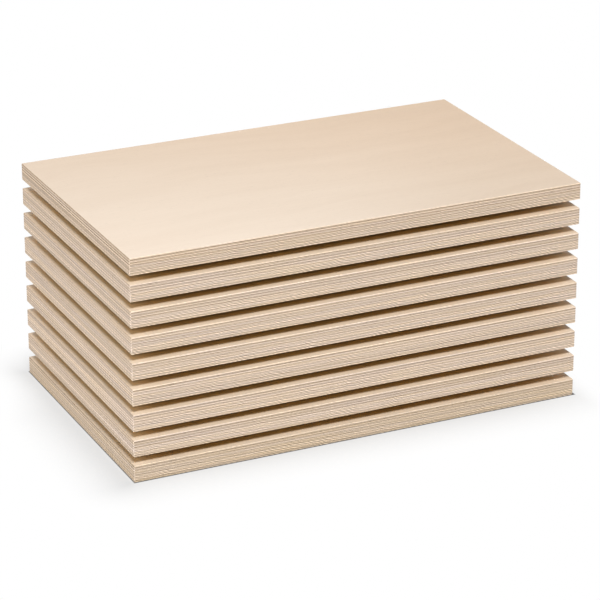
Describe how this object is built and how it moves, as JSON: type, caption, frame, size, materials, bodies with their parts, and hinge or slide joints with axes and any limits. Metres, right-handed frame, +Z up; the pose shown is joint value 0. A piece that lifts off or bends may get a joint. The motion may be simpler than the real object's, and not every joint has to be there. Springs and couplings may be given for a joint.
{
  "type": "stack of plywood sheets",
  "caption": "Neat stack of bare birch plywood sheets of one size, kept apart by thin wooden spacer strips so that air passes between them.",
  "frame": {"origin": "middle of the lowest sheet's underside, on the floor", "axes": "+X along the sheets' length, +Y across them towards the back, +Z up"},
  "size_m": [0.508, 0.305, 0.242],
  "materials": {
    "birch_plywood": "bare sanded birch, cut edges with light and dark plies",
    "spacer_wood": "bare sawn softwood"
  },
  "bodies": {
    "root": {"sheet_1": "birch_plywood", "sheet_2": "birch_plywood", "sheet_3": "birch_plywood", "sheet_4": "birch_plywood", "sheet_5": "birch_plywood", "sheet_6": "birch_plywood", "sheet_7": "birch_plywood", "sheet_8": "birch_plywood", "sheet_9": "birch_plywood", "spacer_1_left": "spacer_wood", "spacer_1_right": "spacer_wood", "spacer_2_left": "spacer_wood", "spacer_2_right": "spacer_wood", "spacer_3_left": "spacer_wood", "spacer_3_right": "spacer_wood", "spacer_4_left": "spacer_wood", "spacer_4_right": "spacer_wood", "spacer_5_left": "spacer_wood", "spacer_5_right": "spacer_wood", "spacer_6_left": "spacer_wood", "spacer_6_right": "spacer_wood", "spacer_7_left": "spacer_wood", "spacer_7_right": "spacer_wood", "spacer_8_left": "spacer_wood", "spacer_8_right": "spacer_wood"}
  },
  "joints": []
}
